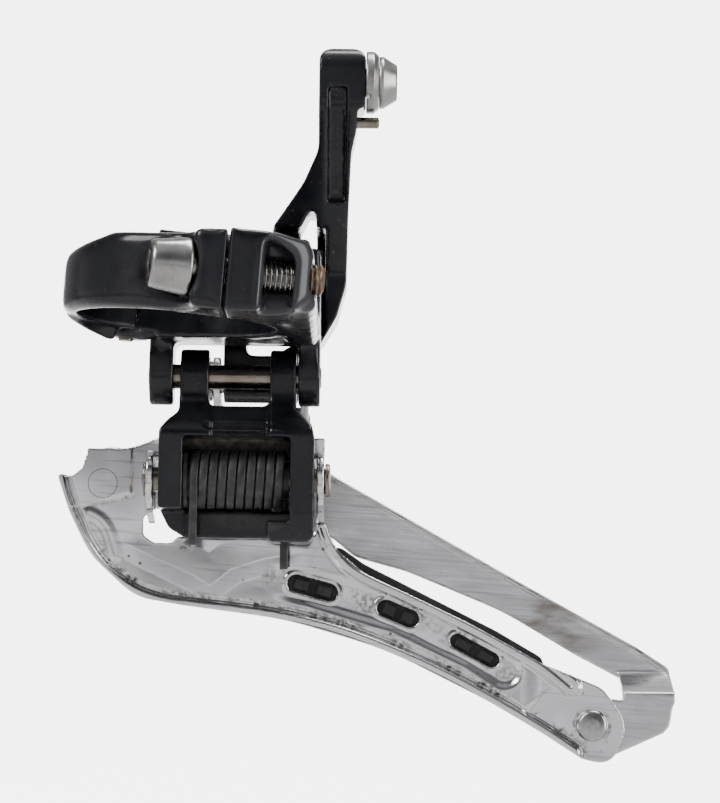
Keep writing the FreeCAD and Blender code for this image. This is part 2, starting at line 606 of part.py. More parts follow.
# ---------------------------------------------------------------- cage
TAIL = (size("tail_x"), size("tail_z"))
LUG = size("lug_radius")
WINDOW_TOP = -24.0
WINDOW_LOW = -37.3
TAB_LEFT = (-6.0, -4.8)
TAB_RIGHT = (22.1, 23.3)
# slots in the rear arm of the inner plate, as x, z, length, width, direction
SLOTS = ((21.5, -45.6, 8.5, 2.8, -14), (35.8, -49.7, 7.2, 2.8, -22), (48.6, -55.7, 8.9, 2.4, -28))
NOSE_RIVET = (-12.5, 37.0)
NOSE_SHANK = 1.2
BRIDGE_Z = -23.6


def lug_end():
    """Three corners that round the tail lug about the rivet."""
    return [(TAIL[0] + 0.6 * LUG, TAIL[1] - 1.25 * LUG, LUG), (TAIL[0] + 1.2 * LUG, TAIL[1], LUG),
            (TAIL[0] + 0.35 * LUG, TAIL[1] + 1.2 * LUG, LUG)]


def make_inner_plate():
    body = new_body("inner_plate")
    outline = [
        (-21.4, -27.0, 0.5), (-19.2, -33.4, 12), (-15.6, -40.6, 14), (-8.0, -47.5, 10), (0.0, -48.8, 12),
        (17.0, -50.9, 60), (34.0, -55.8, 60), (51.0, -64.1, 60), (60.0, -69.3, 30), (66.6, -73.5, 5)]
    outline += lug_end()
    outline += [
        (60.0, -57.8, 10), (47.9, -51.2, 60), (30.1, -43.0, 10), (25.2, -39.0, 6), (TAB_RIGHT[1], -34.0, 4),
        (TAB_RIGHT[1], -20.6), (-4.0, -20.6, 1), (-9.0, -22.5, 6), (-16.4, -23.4, 1), (-17.2, -26.0, 1),
        (-19.0, -27.4, 0.6)]
    pad(body, "front", INNER_Y, INNER_Y + PLATE, rounded(outline), bind="Sizes.plate_thickness")
    # two tabs folded inboard from the window's sides, round about the lower pin
    qy, qz = Q_IN
    eye = 4.7
    tab = [(INNER_Y + PLATE, qz + 4.6), (INNER_Y + PLATE, qz - 7.2), (qy - 0.5, qz - 5.4, 4.5),
           (qy - eye, qz - 3.0, 4), (qy - eye, qz + 3.0, 4), (qy - 0.5, qz + eye, 4)]
    for first, last in (TAB_LEFT, TAB_RIGHT):
        pad(body, "side", first, last, rounded(tab))
    # nose flange, folded outboard over the chain
    pad(body, "top", BRIDGE_Z, BRIDGE_Z + 0.9, rounded([
        (-16.4, INNER_Y), (-8.6, INNER_Y), (-8.6, 39.6, 2), (-16.4, 39.6, 2)]))
    window = [(TAB_LEFT[1], WINDOW_TOP, 0.8), (TAB_RIGHT[0], WINDOW_TOP, 0.8),
              (TAB_RIGHT[0], WINDOW_LOW, 1.5), (-0.9, WINDOW_LOW, 0.6), (-2.2, -38.4, 0.6), (-5.0, -38.4, 1),
              (-6.8, -37.2, 1), (-6.8, -34.0, 1), (TAB_LEFT[1], -33.2, 0.5)]
    pocket(body, "front", INNER_Y - 0.001, INNER_Y + 3.0, rounded(window))
    for x, z, length, width, turn in SLOTS:
        pocket(body, "front", INNER_Y - 1.0, INNER_Y + 3.0, slot(x, z, length, width, turn))
    rivet_hole = circle(TAIL[0], TAIL[1], size("rivet_radius") + HELD)
    pocket(body, "front", INNER_Y - 1.0, INNER_Y + 3.0, rivet_hole)
    pocket(body, "side", -10.0, 30.0, circle(qy, qz, PIN + HELD))
    pocket(body, "top", -30.0, -15.0, circle(NOSE_RIVET[0], NOSE_RIVET[1], NOSE_SHANK + HELD))
    return body


def make_outer_plate():
    body = new_body("outer_plate")
    outline = [
        (-20.0, -27.2, 0.6), (-8.0, -31.6, 30), (12.0, -33.6, 40), (24.0, -36.0, 6), (28.5, -39.7, 4),
        (37.5, -42.1, 20), (54.0, -48.8, 40), (66.0, -55.8, 20), (73.4, -59.6, 2), (82.1, -59.6, 0.5),
        (82.1, -58.0, 1.5), (76.5, -54.4, 30), (57.0, -43.8, 60), (24.0, -25.4, 10), (20.6, -22.0, 2),
        (20.6, -14.2, 2), (3.8, -14.2, 2), (3.8, -20.0, 3), (-5.0, -22.4, 5), (-14.2, -22.9, 1.5),
        (-17.0, -23.4, 0.6), (-18.0, -26.3, 0.8)]
    pad(body, "front", OUTER_Y, OUTER_Y + PLATE, rounded(outline), bind="Sizes.plate_thickness")
    # two tabs folded inboard to the outer link's barrel
    qy, qz = Q_OUT
    eye = 3.9
    tab = [(OUTER_Y + PLATE, qz - 1.0), (OUTER_Y + PLATE, qz - 10.5), (OUTER_Y - 0.5, qz - 10.5, 0.5),
           (qy, qz - eye, 3.8), (qy - eye, qz - 1, 3.8), (qy - eye, qz + eye, 3.8), (qy + 1, qz + eye, 3.8)]
    for first, last in ((4.2, 5.5), (19.1, 20.3)):
        pad(body, "side", first, last, rounded(tab))
    # shelf under the chain at the tail, and the flange that lies behind the inner plate's lug
    flange_y = INNER_Y + PLATE + GAP
    shelf = [(flange_y, -62.3, 0.4), (OUTER_Y + 0.4, -58.6), (OUTER_Y + PLATE, -59.6),
             (flange_y + 1.0, -63.4, 0.6), (flange_y + 0.6, -64.2), (flange_y, -64.2)]
    pad(body, "side", 73.4, 82.1, rounded(shelf))
    flange = [(73.6, -62.6, 0.5), (82.1, -62.6), (81.2, -67.8, 0.6), (80.2, -69.0, 0.6), (71.4, -73.0, 3),
              (64.6, -72.0, 4), (62.9, -66.6, 4), (68.0, -62.9, 3), (73.6, -63.6, 0.5)]
    pad(body, "front", flange_y, flange_y + PLATE, rounded(flange), bind="Sizes.plate_thickness")
    # nose flange, folded inboard under the inner plate's
    pad(body, "top", BRIDGE_Z - 0.95, BRIDGE_Z - 0.05, rounded([
        (-16.4, 34.4, 2), (-8.6, 34.4, 2), (-8.6, OUTER_Y + 0.5), (-16.4, OUTER_Y + 0.5)]))
    pocket(body, "front", INNER_Y, INNER_Y + 6.0, circle(TAIL[0], TAIL[1], size("rivet_radius") + HELD))
    pocket(body, "side", 0.0, 30.0, circle(qy, qz, PIN + HELD))
    pocket(body, "top", -30.0, -15.0, circle(NOSE_RIVET[0], NOSE_RIVET[1], NOSE_SHANK + HELD))
    return body


def make_skid_plate():
    """Plastic lining of the inner plate, with three tabs that snap through the slots."""
    body = new_body("skid_plate")
    back = INNER_Y + PLATE + GAP
    lining = [
        (-15.0, -36.0, 3), (-8.5, -44.6, 6), (0.0, -46.6, 10), (17.0, -48.8, 40), (34.0, -52.8, 40),
        (51.0, -60.4, 40), (59.0, -64.4, 3), (60.4, -57.0, 2), (52.0, -52.2, 30), (30.0, -41.4, 8),
        (26.0, -38.6, 2), (16.0, -40.6, 8), (-2.0, -41.6, 8), (-9.0, -38.2, 6), (-11.0, -32.0, 2)]
    pad(body, "front", back, back + size("skid_thickness"), rounded(lining), bind="Sizes.skid_thickness")
    for x, z, length, width, turn in SLOTS:
        pad(body, "front", INNER_Y - 0.3, back + 0.2, slot(x, z, length - 1.2, width - 0.5, turn))
    return body


def make_rivets():
    radius = size("rivet_radius")
    tail = new_body("tail_rivet", linkage=False)
    back = 2 * PLATE + GAP + 0.01
    revolve(tail, [(-1.3, 0), (-1.2, 1.2, 1), (-0.9, 2.4, 1), (-0.02, 2.8, 0.2), (-0.02, radius),
                   (back, radius), (back, 2.8), (back + 0.9, 2.3, 0.5), (back + 0.9, 0)])
    lean = FreeCAD.Rotation(V(0, 1, 0), -TILT)
    tail.Placement = FreeCAD.Placement(lean.multVec(V(TAIL[0], INNER_Y, TAIL[1])),
                                       lean.multiply(FreeCAD.Rotation(V(0, 0, 1), 90)))
    nose = new_body("nose_rivet", linkage=False)
    low = -0.97
    high = 0.92
    revolve(nose, [(low - 0.7, 0), (low - 0.7, 1.6), (low, 2.0), (low, NOSE_SHANK), (high, NOSE_SHANK),
                   (high, 2.0), (high + 0.6, 1.4, 0.4), (high + 0.6, 0)])
    nose.Placement = FreeCAD.Placement(lean.multVec(V(NOSE_RIVET[0], NOSE_RIVET[1], BRIDGE_Z)),
                                       lean.multiply(FreeCAD.Rotation(V(0, 1, 0), -90)))


# ---------------------------------------------------------------- build, check and write
make_support()
make_band()
make_clamp_bolt()
make_hinge_pin()
make_inner_link()
make_sleeve()
make_spring()
make_outer_link()
for screw in LIMIT_SCREWS:
    make_limit_screw(screw)
make_limit_lock()
make_arm_fittings()
make_pins()
make_inner_plate()
make_outer_plate()
make_skid_plate()
make_rivets()
doc.recompute()

NODES = (
    "support_body", "clamp_band", "clamp_bolt", "clamp_hinge_pin", "inner_link", "spring_sleeve",
    "return_spring", "outer_link", "limit_screw_high", "limit_screw_low", "limit_screw_lock", "cable_plate",
    "cable_bolt", "cable_guide_pin", "inner_upper_pin", "outer_upper_pin", "outer_upper_clip",
    "cage_inner_pin", "cage_inner_pin_ring", "cage_outer_pin", "cage_outer_clip", "inner_plate",
    "outer_plate", "skid_plate", "tail_rivet", "nose_rivet",
)
for item in doc.Objects:
    if "Invalid" in item.State or "Error" in item.State:
        raise RuntimeError("%s failed: %s" % (item.Name, item.State))
for name in NODES:
    node = doc.getObjectsByLabel(name)[0]
    shape = node.Shape
    if shape.isNull() or not shape.isValid():
        raise RuntimeError(name + " has no valid shape")
    print("%-20s solids %d volume %9.2f" % (name, len(shape.Solids), shape.Volume))
    shape.exportStep("parts/%s.step" % name)
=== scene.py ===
import json
import math

import bmesh
import bpy
import numpy as np
from mathutils import Matrix, Vector

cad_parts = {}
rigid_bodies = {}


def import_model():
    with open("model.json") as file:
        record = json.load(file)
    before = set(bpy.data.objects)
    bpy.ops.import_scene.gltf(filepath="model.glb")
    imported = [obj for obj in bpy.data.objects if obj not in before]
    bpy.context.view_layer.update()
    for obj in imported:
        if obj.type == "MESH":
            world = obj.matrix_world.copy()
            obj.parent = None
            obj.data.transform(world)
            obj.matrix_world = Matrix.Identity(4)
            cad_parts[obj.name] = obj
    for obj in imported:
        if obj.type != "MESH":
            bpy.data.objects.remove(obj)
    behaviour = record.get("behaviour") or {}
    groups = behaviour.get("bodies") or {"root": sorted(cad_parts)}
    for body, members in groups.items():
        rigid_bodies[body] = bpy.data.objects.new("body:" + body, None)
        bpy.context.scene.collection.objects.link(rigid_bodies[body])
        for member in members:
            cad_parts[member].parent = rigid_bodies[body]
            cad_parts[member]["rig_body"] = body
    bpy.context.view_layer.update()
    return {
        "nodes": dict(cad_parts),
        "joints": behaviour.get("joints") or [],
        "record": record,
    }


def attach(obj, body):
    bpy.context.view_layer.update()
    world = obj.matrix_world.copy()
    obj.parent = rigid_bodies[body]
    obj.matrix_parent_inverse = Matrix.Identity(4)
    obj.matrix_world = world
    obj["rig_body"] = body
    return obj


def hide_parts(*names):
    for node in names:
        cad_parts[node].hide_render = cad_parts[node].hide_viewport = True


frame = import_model()
MM = 0.001
# The linkage leans with its pins: a point drawn in millimetres in the pins' frame goes through LEAN.
AXIS = Vector(next(j for j in frame["joints"] if j["name"] == "linkage_swing")["axis"])
TILT = math.atan2(AXIS.z, AXIS.x)
LEAN = Matrix.Rotation(-TILT, 4, "Y") @ Matrix.Scale(MM, 4)
JOINTS = {j["name"]: j for j in frame["joints"]}


# the near faces of the inner and outer plates, and the centre of the ring marked at the inner one's nose
PLATE_FRONT = 30.0
OUTER_FRONT = 43.0
CIRCLE = (-13.7, -28.6)


def pivot(joint):
    """A hinge's point in the pins' frame, in millimetres."""
    return LEAN.inverted() @ Vector(JOINTS[joint]["pos_m"])


# ---------------------------------------------------------------- materials
class Nodes:
    """Small helper that wires one procedural material."""

    def __init__(self, name, colour, metallic=0.0, roughness=0.5, **sockets):
        self.material = bpy.data.materials.new(name)
        self.material.use_nodes = True
        self.tree = self.material.node_tree
        self.shader = self.tree.nodes["Principled BSDF"]
        self.shader.inputs["Base Color"].default_value = (*colour, 1)
        self.shader.inputs["Metallic"].default_value = metallic
        self.shader.inputs["Roughness"].default_value = roughness
        for label, value in sockets.items():
            self.shader.inputs[label.replace("_", " ")].default_value = value
        self.place = self.tree.nodes.new("ShaderNodeTexCoord").outputs["Object"]

    def link(self, source, target):
        self.tree.links.new(source, target)

    def stretched(self, scale, turn=(0, 0, 0)):
        """The place, stretched and turned, for patterns that run in one direction."""
        node = self.tree.nodes.new("ShaderNodeMapping")
        node.inputs["Scale"].default_value = scale
        node.inputs["Rotation"].default_value = turn
        self.link(self.place, node.inputs["Vector"])
        return node.outputs["Vector"]

    def noise(self, scale, detail, vector=None):
        node = self.tree.nodes.new("ShaderNodeTexNoise")
        node.inputs["Scale"].default_value = scale
        node.inputs["Detail"].default_value = detail
        self.link(vector or self.place, node.inputs["Vector"])
        return node.outputs["Fac"]

    def cells(self, scale):
        node = self.tree.nodes.new("ShaderNodeTexVoronoi")
        node.inputs["Scale"].default_value = scale
        self.link(self.place, node.inputs["Vector"])
        return node.outputs["Distance"]

    def range(self, source, low, high, to_low=0.0, to_high=1.0):
        """Spreads low..high of a value over to_low..to_high, and holds it there beyond."""
        node = self.tree.nodes.new("ShaderNodeMapRange")
        node.inputs["From Min"].default_value = low
        node.inputs["From Max"].default_value = high
        node.inputs["To Min"].default_value = to_low
        node.inputs["To Max"].default_value = to_high
        self.link(source, node.inputs["Value"])
        return node.outputs["Result"]

    def maths(self, operation, a, b):
        node = self.tree.nodes.new("ShaderNodeMath")
        node.operation = operation
        for value, socket in ((a, node.inputs[0]), (b, node.inputs[1])):
            if isinstance(value, (int, float)):
                socket.default_value = value
            else:
                self.link(value, socket)
        return node.outputs[0]

    def edges(self, low, high):
        """1 on convex edges, 0 elsewhere."""
        node = self.tree.nodes.new("ShaderNodeNewGeometry")
        return self.range(node.outputs["Pointiness"], low, high)

    def crevices(self, distance):
        """1 in corners and beside other pieces, 0 in the open."""
        node = self.tree.nodes.new("ShaderNodeAmbientOcclusion")
        node.samples = 4
        node.inputs["Distance"].default_value = distance
        return self.range(node.outputs["AO"], 0.75, 0.25)

    def near(self, centre, radii):
        """1 at a centre in the row frame, falling to 0 at its radii, both in metres."""
        node = self.tree.nodes.new("ShaderNodeMapping")
        node.vector_type = "TEXTURE"
        node.inputs["Location"].default_value = centre
        node.inputs["Scale"].default_value = radii
        self.link(self.place, node.inputs["Vector"])
        ball = self.tree.nodes.new("ShaderNodeTexGradient")
        ball.gradient_type = "SPHERICAL"
        self.link(node.outputs["Vector"], ball.inputs["Vector"])
        return ball.outputs["Fac"]

    def tint(self, colour, amount):
        """Mixes a colour over whatever the base colour is so far."""
        node = self.tree.nodes.new("ShaderNodeMix")
        node.data_type = "RGBA"
        base = self.shader.inputs["Base Color"]
        if base.is_linked:
            self.link(base.links[0].from_socket, node.inputs[6])
        else:
            node.inputs[6].default_value = base.default_value
        node.inputs[7].default_value = (*colour, 1)
        self.link(amount, node.inputs[0])
        self.link(node.outputs[2], base)

    def along(self, axis, low, high, to_low=0.0, to_high=1.0):
        """A value that runs from one end of an axis to the other, in metres."""
        split = self.tree.nodes.new("ShaderNodeSeparateXYZ")
        self.link(self.place, split.inputs[0])
        return self.range(split.outputs[axis], low, high, to_low, to_high)

    def painted(self, layer):
        """A value stored on the mesh's points."""
        node = self.tree.nodes.new("ShaderNodeAttribute")
        node.attribute_name = layer
        return node.outputs["Fac"]

    def ring(self, centre, radius, width):
        """1 on a thin circle drawn about a point in the XZ plane."""
        apart = self.tree.nodes.new("ShaderNodeVectorMath")
        apart.operation = "SUBTRACT"
        self.link(self.place, apart.inputs[0])
        apart.inputs[1].default_value = centre
        flat = self.tree.nodes.new("ShaderNodeVectorMath")
        flat.operation = "MULTIPLY"
        self.link(apart.outputs[0], flat.inputs[0])
        flat.inputs[1].default_value = (1, 0, 1)
        length = self.tree.nodes.new("ShaderNodeVectorMath")
        length.operation = "LENGTH"
        self.link(flat.outputs[0], length.inputs[0])
        off = self.maths("ABSOLUTE", self.maths("SUBTRACT", length.outputs["Value"], radius), 0.0)
        return self.range(off, width, 0.4 * width)

    def set_from(self, label, value):
        self.link(value, self.shader.inputs[label])

    def blend_value(self, label, start, end, amount):
        """Takes a shader value from start to end as amount goes from 0 to 1."""
        socket = self.shader.inputs[label]
        scaled = self.range(amount, 0.0, 1.0, start, end)
        if socket.is_linked:
            scaled = self.maths("ADD", socket.links[0].from_socket, self.range(amount, 0, 1, 0, end - start))
        self.link(scaled, socket)

    def bump(self, height, strength, distance):
        """Adds one more layer of fine unevenness over those already there."""
        node = self.tree.nodes.new("ShaderNodeBump")
        node.inputs["Strength"].default_value = strength
        node.inputs["Distance"].default_value = distance
        self.link(height, node.inputs["Height"])
        normal = self.shader.inputs["Normal"]
        if normal.is_linked:
            self.link(normal.links[0].from_socket, node.inputs["Normal"])
        self.link(node.outputs["Normal"], normal)


def black_paint():
    """Glossy black coat with dull patches, dust, scuffs, worn edges and a bare grey saddle, plus painted
    sheen on a lug panel and the chin and a painted highlight along every convex edge.
    """
    m = Nodes("black_coat", (0.0035, 0.0038, 0.006), 0.0, 0.28, Specular_IOR_Level=0.3, Coat_Weight=0.35,
              Coat_Roughness=0.1)
    m.tint((0.0085, 0.009, 0.012), m.range(m.noise(160, 5), 0.45, 0.75))
    # painted sheen: a lighter patch on the relief panel beside the bolt stands in for the light that panel
    # faces and mirrors
    lug = m.range(m.near((0.0175, -0.0205, 0.0), (0.0062, 0.0125, 0.0125)), 0.06, 0.3)
    m.tint((0.03, 0.031, 0.035), m.maths("MULTIPLY", lug, 0.9))
    dust = m.maths("MULTIPLY", m.range(m.cells(900), 0.12, 0.05), m.range(m.noise(260, 2), 0.55, 0.65))
    m.tint((0.2, 0.19, 0.17), m.maths("MULTIPLY", dust, 0.5))
    wear = m.maths("MULTIPLY", m.edges(0.56, 0.64), m.range(m.noise(420, 6), 0.5, 0.62))
    m.tint((0.16, 0.155, 0.15), m.maths("MULTIPLY", wear, 0.45))
    # painted highlight: every convex edge is lightened evenly, standing in for the light the edges catch
    m.tint((0.028, 0.029, 0.033), m.maths("MULTIPLY", m.edges(0.515, 0.57), 0.6))
    scuff = m.noise(500, 3, m.stretched((6, 1, 0.5), (0.3, 0.2, 0.5)))
    m.tint((0.03, 0.03, 0.033), m.range(scuff, 0.7, 0.76, 0, 0.4))
    grime = m.maths("MULTIPLY", m.crevices(0.9 * MM), m.range(m.noise(420, 6), 0.5, 0.66))
    m.tint((0.06, 0.042, 0.026), m.maths("MULTIPLY", grime, 0.75))
    m.set_from("Roughness", m.range(m.noise(230, 6), 0.3, 0.7, 0.2, 0.42))
    saddle = m.range(m.near((0.0105, 0.0245, -0.0217), (0.0105, 0.0062, 0.0026)), 0.02, 0.3)
    rough = m.maths("MULTIPLY", saddle, m.range(m.noise(700, 6), 0.35, 0.6, 0.45, 1.0))
    m.tint((0.17, 0.155, 0.135), m.maths("MULTIPLY", rough, 0.85))
    m.blend_value("Roughness", 0.0, 0.3, saddle)
    # painted sheen: a lighter grey strip on the link's chin stands in for the light it catches from below
    chin_sheen = m.range(m.near((0.0114, 0.0195, -0.0338), (0.0095, 0.007, 0.0034)), 0.02, 0.3)
    m.tint((0.035, 0.034, 0.033), m.maths("MULTIPLY", chin_sheen, m.range(m.noise(420, 5), 0.35, 0.6)))
    m.bump(m.noise(150, 2), 0.04, 0.1 * MM)
    m.bump(m.noise(1500, 3), 0.03, 0.02 * MM)
    return m.material


def plated(name, colour, roughness):
    """Sheet common to both cage plates: haze, crossed scratches and specks; each plate adds its own dirt in
    the corners.
    """
    m = Nodes(name, colour, 1.0, roughness)
    m.tint(tuple(0.72 * c for c in colour), m.range(m.noise(55, 4), 0.42, 0.7, 0, 0.8))
    haze = m.noise(120, 6, m.stretched((1, 1, 3), (0, 0.5, 0)))
    m.set_from("Roughness", m.range(haze, 0.3, 0.72, roughness * 0.7, roughness * 1.7))
    for turn, scale in ((0.35, 1500), (0.62, 1900), (-0.4, 1100)):
        lines = m.noise(scale, 2, m.stretched((0.05, 1, 1), (0, turn, 0)))
        m.tint(tuple(0.5 * c for c in colour), m.range(lines, 0.64, 0.71, 0, 0.5))
    specks = m.maths("MULTIPLY", m.range(m.cells(420), 0.16, 0.04), m.range(m.noise(150, 3), 0.5, 0.66))
    m.tint((0.09, 0.05, 0.025), specks)
    return m


def foul(m, dirt, colour=(0.05, 0.034, 0.022)):
    """Lays dirt over a metal: darker, rougher and no longer a mirror."""
    m.tint(colour, dirt)
    m.blend_value("Roughness", 0.0, 0.4, dirt)


def chrome():
    """Inner plate: mirror plating, an engraved ring at the nose and dirt that follows the pressing."""
    m = plated("cage_plating", (0.82, 0.82, 0.825), 0.12)
    centre = LEAN @ Vector((CIRCLE[0], PLATE_FRONT, CIRCLE[1]))
    m.tint((0.16, 0.155, 0.15), m.maths("MULTIPLY", m.ring(centre, 2.42 * MM, 0.11 * MM), 0.8))
    patchy = m.maths("MULTIPLY", m.range(m.noise(1300, 6), 0.4, 0.6), m.range(m.noise(170, 3), 0.38, 0.58))
    foul(m, m.maths("MULTIPLY", m.painted("grime"), patchy))
    foul(m, m.maths("MULTIPLY", m.crevices(1.2 * MM), m.maths("MULTIPLY", patchy, 0.7)))
    m.bump(m.noise(45, 3), 0.45, 0.22 * MM)
    m.bump(m.noise(900, 3), 0.06, 0.02 * MM)
    return m.material


def brushed_plate():
    """Outer plate: duller, brushed along its length, with a brown burnish where the chain rubs."""
    m = plated("cage_brushed", (0.8, 0.8, 0.81), 0.27)
    grain = m.noise(2400, 2, m.stretched((0.03, 1, 1), (0, 0.55, 0)))
    m.tint((0.52, 0.52, 0.525), m.range(grain, 0.4, 0.66, 0, 0.6))
    rubbed = m.range(m.near((0.0655, 0.0435, -0.0462), (0.0125, 0.006, 0.006)), 0.05, 0.5)
    streaks = m.range(m.noise(300, 5, m.stretched((0.35, 1, 1), (0, 0.9, 0))), 0.38, 0.58)
    foul(m, m.maths("MULTIPLY", m.maths("MULTIPLY", rubbed, streaks), 0.85), (0.17, 0.125, 0.09))
    foul(m, m.maths("MULTIPLY", m.crevices(1.0 * MM), m.range(m.noise(420, 5), 0.45, 0.65)))
    m.bump(m.noise(60, 3), 0.3, 0.2 * MM)
    return m.material


def brushed(name, colour, roughness, stain):
    """Turned steel with faint tool marks, brown stains and dirt in its hollows."""
    m = Nodes(name, colour, 1.0, roughness)
    m.set_from("Roughness", m.range(m.noise(220, 4), 0.3, 0.7, roughness * 0.8, roughness * 1.3))
    m.tint(tuple(0.65 * c for c in colour), m.range(m.noise(260, 5), 0.45, 0.75, 0, 0.7))
    marks = m.noise(2600, 2, m.stretched((1, 0.06, 0.06)))
    m.tint(tuple(0.75 * c for c in colour), m.range(marks, 0.45, 0.7, 0, 0.35))
    stains = m.range(m.noise(330, 6), 0.62 - 0.25 * stain, 0.75)
    m.tint((0.085, 0.05, 0.025), m.maths("MULTIPLY", stains, stain))
    m.tint((0.06, 0.04, 0.024), m.maths("MULTIPLY", m.crevices(0.45 * MM), 0.35 + 0.4 * stain))
    scratch = m.noise(900, 2, m.stretched((0.08, 1, 1), (0.4, 0.8, 0.3)))
    m.tint((0.75, 0.74, 0.72), m.range(scratch, 0.7, 0.75, 0, 0.4))
    m.bump(m.noise(320, 3), 0.08, 0.04 * MM)
    return m


def clamp_steel():
    """The clamp bolt: satin steel whose bare tip has gone brown."""
    m = brushed("clamp_steel", (0.44, 0.43, 0.415), 0.26, 0.15)
    tip = LEAN @ Vector((23.0, 0, 0))
    brown = m.range(m.near((tip.x, -0.017, 0.0014), (0.0052, 0.006, 0.006)), 0.1, 0.4)
    foul(m, m.maths("MULTIPLY", brown, m.range(m.noise(900, 5), 0.3, 0.6, 0.35, 0.95)), (0.19, 0.12, 0.055))
    return m.material


def spring_wire():
    """Dark phosphated wire with rust between the coils and rubbed edges."""
    m = Nodes("spring_wire", (0.05, 0.05, 0.051), 0.6, 0.42)
    m.tint((0.085, 0.083, 0.082), m.range(m.noise(500, 5), 0.45, 0.7))
    rust = m.range(m.noise(600, 6), 0.46, 0.6)
    m.tint((0.15, 0.07, 0.03), m.maths("MULTIPLY", rust, m.crevices(0.4 * MM)))
    m.tint((0.2, 0.1, 0.045), m.range(m.noise(900, 4), 0.68, 0.74, 0, 0.5))
    m.tint((0.2, 0.2, 0.2), m.maths("MULTIPLY", m.edges(0.55, 0.62), 0.4))
    m.set_from("Roughness", m.range(m.noise(700, 4), 0.3, 0.7, 0.34, 0.6))
    m.bump(m.noise(1500, 4), 0.15, 0.03 * MM)
    return m.material


def plastic(name, colour):
    """Dull moulded plastic with pale scuffs and a fine grain."""
    m = Nodes(name, colour, 0.0, 0.45)
    m.tint(tuple(2.5 * c for c in colour), m.range(m.noise(300, 5), 0.5, 0.75))
    m.tint((0.12, 0.1, 0.08), m.range(m.noise(900, 3), 0.68, 0.75, 0, 0.6))
    m.set_from("Roughness", m.range(m.noise(400, 4), 0.3, 0.7, 0.3, 0.6))
    m.bump(m.noise(2200, 3), 0.15, 0.03 * MM)
    return m.material


SLOT_OF = {s["node"]: s["material_slot"] for s in frame["record"]["subparts"]}
CHROME = chrome()
BRUSHED_PLATE = brushed_plate()
CLAMP_STEEL = clamp_steel()
FINISH = {
    "black_forging": black_paint(),
    "stainless": brushed("stainless", (0.42, 0.415, 0.4), 0.3, 0.15).material,
    "pin_steel": brushed("pin_steel", (0.33, 0.29, 0.24), 0.22, 0.5).material,
    "spring_steel": spring_wire(),
    "cage_chrome": CHROME,
    "rivet_steel": brushed("rivet_steel", (0.46, 0.46, 0.455), 0.26, 0.3).material,
    "skid_plastic": plastic("skid_plastic", (0.012, 0.012, 0.013)),
    "bush_plastic": plastic("bush_plastic", (0.03, 0.028, 0.026)),
}


def dress(obj, slot):
    """Gives a piece its record slot's finish and nothing else."""
    obj.data.materials.clear()
    obj.data.materials.append(FINISH[slot])


def body_of(node):
    return frame["nodes"][node]["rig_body"]


def stand_for(obj, node):
    """A finished piece takes the CAD node's body and finish, and the CAD node is hidden."""
    dress(obj, SLOT_OF[node])
    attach(obj, body_of(node))
    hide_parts(node)


# ---------------------------------------------------------------- mesh helpers
def link(name, mesh):
    obj = bpy.data.objects.new(name, mesh)
    bpy.context.scene.collection.objects.link(obj)
    return obj


def smooth(mesh):
    mesh.polygons.foreach_set("use_smooth", [True] * len(mesh.polygons))
    mesh.update()


def apply_modifiers(obj):
    """Replaces an object's mesh with its modifiers' result."""
    bpy.context.view_layer.update()
    graph = bpy.context.evaluated_depsgraph_get()
    made = bpy.data.meshes.new_from_object(obj.evaluated_get(graph))
    obj.modifiers.clear()
    obj.data = made


def forged(node, voxel, rounds=10):
    """A copy of a CAD node with its sharp edges run soft; voxel is its detail in millimetres."""
    obj = link(node + "_forged", frame["nodes"][node].data.copy())
    remesh = obj.modifiers.new("skin", "REMESH")
    remesh.mode = "VOXEL"
    remesh.voxel_size = voxel * MM
    soften(obj, rounds)
    return obj


def read_points(mesh, what="co"):
    """All points (or their normals) of a mesh as an array of rows."""
    values = np.empty(3 * len(mesh.vertices))
    if what == "co":
        mesh.vertices.foreach_get("co", values)
    else:
        mesh.vertex_normals.foreach_get("vector", values)
    return values.reshape(-1, 3)


def write_points(mesh, points):
    mesh.vertices.foreach_set("co", points.ravel())
    mesh.update()


def soften(obj, rounds, share=None):
    """Smooths a mesh, only where share(x, y, z) in row millimetres says if it is given."""
    modifier = obj.modifiers.new("soften", "SMOOTH")
    modifier.factor = 0.5
    modifier.iterations = rounds
    if share:
        group = obj.vertex_groups.new(name="soft")
        for index, weight in enumerate(share(*(read_points(obj.data) / MM).T)):
            group.add([index], float(weight), "REPLACE")
        modifier.vertex_group = "soft"
    apply_modifiers(obj)
    smooth(obj.data)


def outside_tube(x, y, z):
    """The clamp's outer skin, which bulges, but neither its bore nor the split between its ears."""
    split = ramp(np.abs(x - 8.3), 0.3, 2.2) + (y > -10)
    return ramp(np.hypot(x, y), 16.3, 17.3) * ramp(z, -8.2, -6.5) * np.minimum(1.0, split)


def ramp(value, low, high):
    """0 below low, 1 above high, with a soft step between (low may be above high)."""
    t = np.clip((value - low) / (high - low), 0.0, 1.0)
    return t * t * (3 - 2 * t)


def path_distance(x, z, path):
    """Distance to a polyline, and the side the point lies on: positive to its left."""
    best, side = np.full(np.shape(x), 1e9), np.ones(np.shape(x))
    for (ax, az), (bx, bz) in zip(path, path[1:]):
        dx, dz = bx - ax, bz - az
        share = np.clip(((x - ax) * dx + (z - az) * dz) / (dx * dx + dz * dz), 0.0, 1.0)
        away = np.hypot(x - ax - share * dx, z - az - share * dz)
        side = np.where(away < best, np.sign(dx * (z - az) - dz * (x - ax)), side)
        best = np.minimum(best, away)
    return best, side


